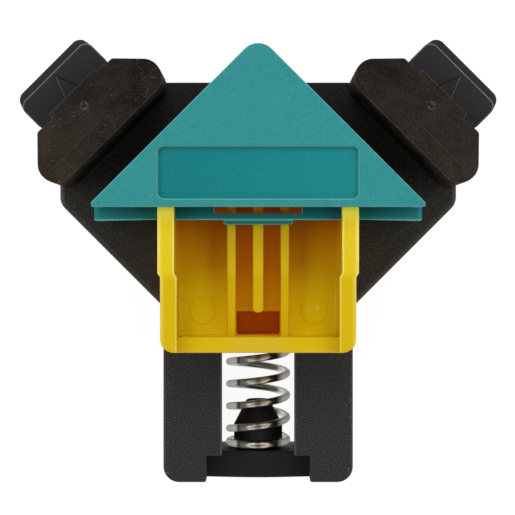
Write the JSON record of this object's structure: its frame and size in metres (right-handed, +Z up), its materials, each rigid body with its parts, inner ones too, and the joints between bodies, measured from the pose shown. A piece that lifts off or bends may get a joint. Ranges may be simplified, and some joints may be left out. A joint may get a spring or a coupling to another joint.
{
  "type": "corner clamp",
  "caption": "Spring-loaded corner clamp: a sliding 45 degree wedge with a finger tray presses two boards against swivelling rubber pads on a slotted base.",
  "frame": {"origin": "centre of the footprint, on the surface that the clamp stands on", "axes": "+Z up, +Y from the legs towards the wedge's point, +X to the right when seen from above with the point up"},
  "size_m": [0.1514, 0.1406, 0.052],
  "materials": {
    "black_plastic": "fine moulded grain",
    "teal_plastic": "satin, moulded",
    "yellow_plastic": "satin, moulded",
    "grey_plastic": "smooth, moulded",
    "brown_rubber": "matt, slightly speckled",
    "facing_rubber": "matt",
    "spring_steel": "bright plated wire",
    "zinc_steel": "zinc plated"
  },
  "bodies": {
    "base": {"base_frame": "black_plastic", "spring_cone": "black_plastic", "spring_cone_screw": "zinc_steel", "compression_spring": "spring_steel", "left_jaw_post": "grey_plastic", "right_jaw_post": "grey_plastic", "left_post_screw": "zinc_steel", "right_post_screw": "zinc_steel", "left_pivot_pin": "zinc_steel", "right_pivot_pin": "zinc_steel"},
    "carriage": {"wedge_jaw": "teal_plastic", "trigger_tray": "yellow_plastic", "keeper_plate": "zinc_steel", "keeper_screw_front": "zinc_steel", "keeper_screw_rear": "zinc_steel", "wedge_screw_left": "zinc_steel", "wedge_screw_right": "zinc_steel"},
    "left_shoe": {"left_swivel_shoe": "brown_rubber", "left_rubber_facing": "facing_rubber"},
    "right_shoe": {"right_swivel_shoe": "brown_rubber", "right_rubber_facing": "facing_rubber"}
  },
  "joints": [
    {"name": "wedge_slide", "type": "slide", "parent": "base", "child": "carriage", "axis": [0, -1, 0], "range_m": [0, 0.017], "stiffness_N_per_m": 4000, "springref_m": -0.008, "deforming": ["compression_spring"]},
    {"name": "left_shoe_swivel", "type": "hinge", "parent": "base", "child": "left_shoe", "pos_m": [-0.05211, 0.04671, 0.03], "axis": [0, 0, 1], "range_deg": [-4, 4]},
    {"name": "right_shoe_swivel", "type": "hinge", "parent": "base", "child": "right_shoe", "pos_m": [0.05211, 0.04671, 0.03], "axis": [0, 0, 1], "range_deg": [-4, 4]}
  ]
}
